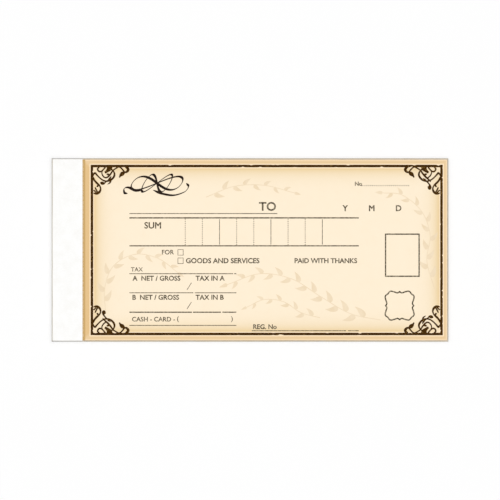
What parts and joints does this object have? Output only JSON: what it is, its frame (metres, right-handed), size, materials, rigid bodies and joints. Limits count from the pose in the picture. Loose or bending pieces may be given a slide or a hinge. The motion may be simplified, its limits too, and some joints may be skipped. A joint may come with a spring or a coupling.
{
  "type": "duplicate receipt book",
  "caption": "Left-bound book of two-part receipt sets: tear-off printed originals over copies, with a creased fold-back card cover, a backing board and a loose writing shield.",
  "frame": {"origin": "centre of the underside of the book, with the front cover folded back under it", "axes": "+X from the binding to the free edge, +Y up the page, +Z out of the page"},
  "size_m": [0.1844, 0.0852, 0.0084],
  "materials": {
    "original_paper": "matt copying paper, printed with a tan ground",
    "copy_paper": "matt coated copying paper",
    "set_paper": "matt copying paper, cut edges",
    "cover_card": "uncoated pale grey card",
    "backing_board": "grey pulp board",
    "shield_card": "smooth buff card",
    "binding_glue": "dried clear padding glue"
  },
  "bodies": {
    "book": {"back_cover": "cover_card", "spine_glue": "binding_glue", "backing_board": "backing_board", "set_01_original_stub": "original_paper", "set_01_copy_stub": "copy_paper", "set_02": "set_paper", "set_03": "set_paper", "set_04": "set_paper", "set_05": "set_paper", "set_06": "set_paper", "set_07": "set_paper", "set_08": "set_paper", "set_09": "set_paper", "set_10": "set_paper", "set_11": "set_paper", "set_12": "set_paper", "set_13": "set_paper", "set_14": "set_paper", "set_15": "set_paper", "set_16": "set_paper", "set_17": "set_paper", "set_18": "set_paper", "set_19": "set_paper", "set_20": "set_paper", "set_21": "set_paper", "set_22": "set_paper", "set_23": "set_paper", "set_24": "set_paper", "set_25": "set_paper", "set_26": "set_paper", "set_27": "set_paper", "set_28": "set_paper", "set_29": "set_paper", "set_30": "set_paper", "set_31": "set_paper", "set_32": "set_paper", "set_33": "set_paper", "set_34": "set_paper", "set_35": "set_paper", "set_36": "set_paper", "set_37": "set_paper", "set_38": "set_paper", "set_39": "set_paper", "set_40": "set_paper", "set_41": "set_paper", "set_42": "set_paper", "set_43": "set_paper", "set_44": "set_paper", "set_45": "set_paper", "set_46": "set_paper", "set_47": "set_paper", "set_48": "set_paper", "set_49": "set_paper", "set_50": "set_paper"},
    "cover_flap": {"cover_flap": "cover_card"},
    "front_cover": {"front_cover": "cover_card"},
    "copy_leaf": {"set_01_copy_slip": "copy_paper"},
    "original_leaf": {"set_01_original_slip": "original_paper"},
    "writing_shield": {"writing_shield": "shield_card"}
  },
  "joints": [
    {"name": "cover_flap_turn", "type": "hinge", "parent": "book", "child": "cover_flap", "pos_m": [-0.0919, 0, 0.00845], "axis": [0, -1, 0], "range_deg": [-270, 0]},
    {"name": "front_cover_fold", "type": "hinge", "parent": "cover_flap", "child": "front_cover", "pos_m": [-0.0919, 0, 0.00025], "axis": [0, -1, 0], "range_deg": [-90, 0]},
    {"name": "copy_turn", "type": "hinge", "parent": "book", "child": "copy_leaf", "pos_m": [-0.07745, 0, 0.0082], "axis": [0, -1, 0], "range_deg": [0, 80]},
    {"name": "original_turn", "type": "hinge", "parent": "copy_leaf", "child": "original_leaf", "pos_m": [-0.07745, 0, 0.0082], "axis": [0, -1, 0], "range_deg": [0, 95]},
    {"name": "shield_slide", "type": "slide", "parent": "book", "child": "writing_shield", "axis": [1, 0, 0], "range_m": [0, 0.16]}
  ]
}
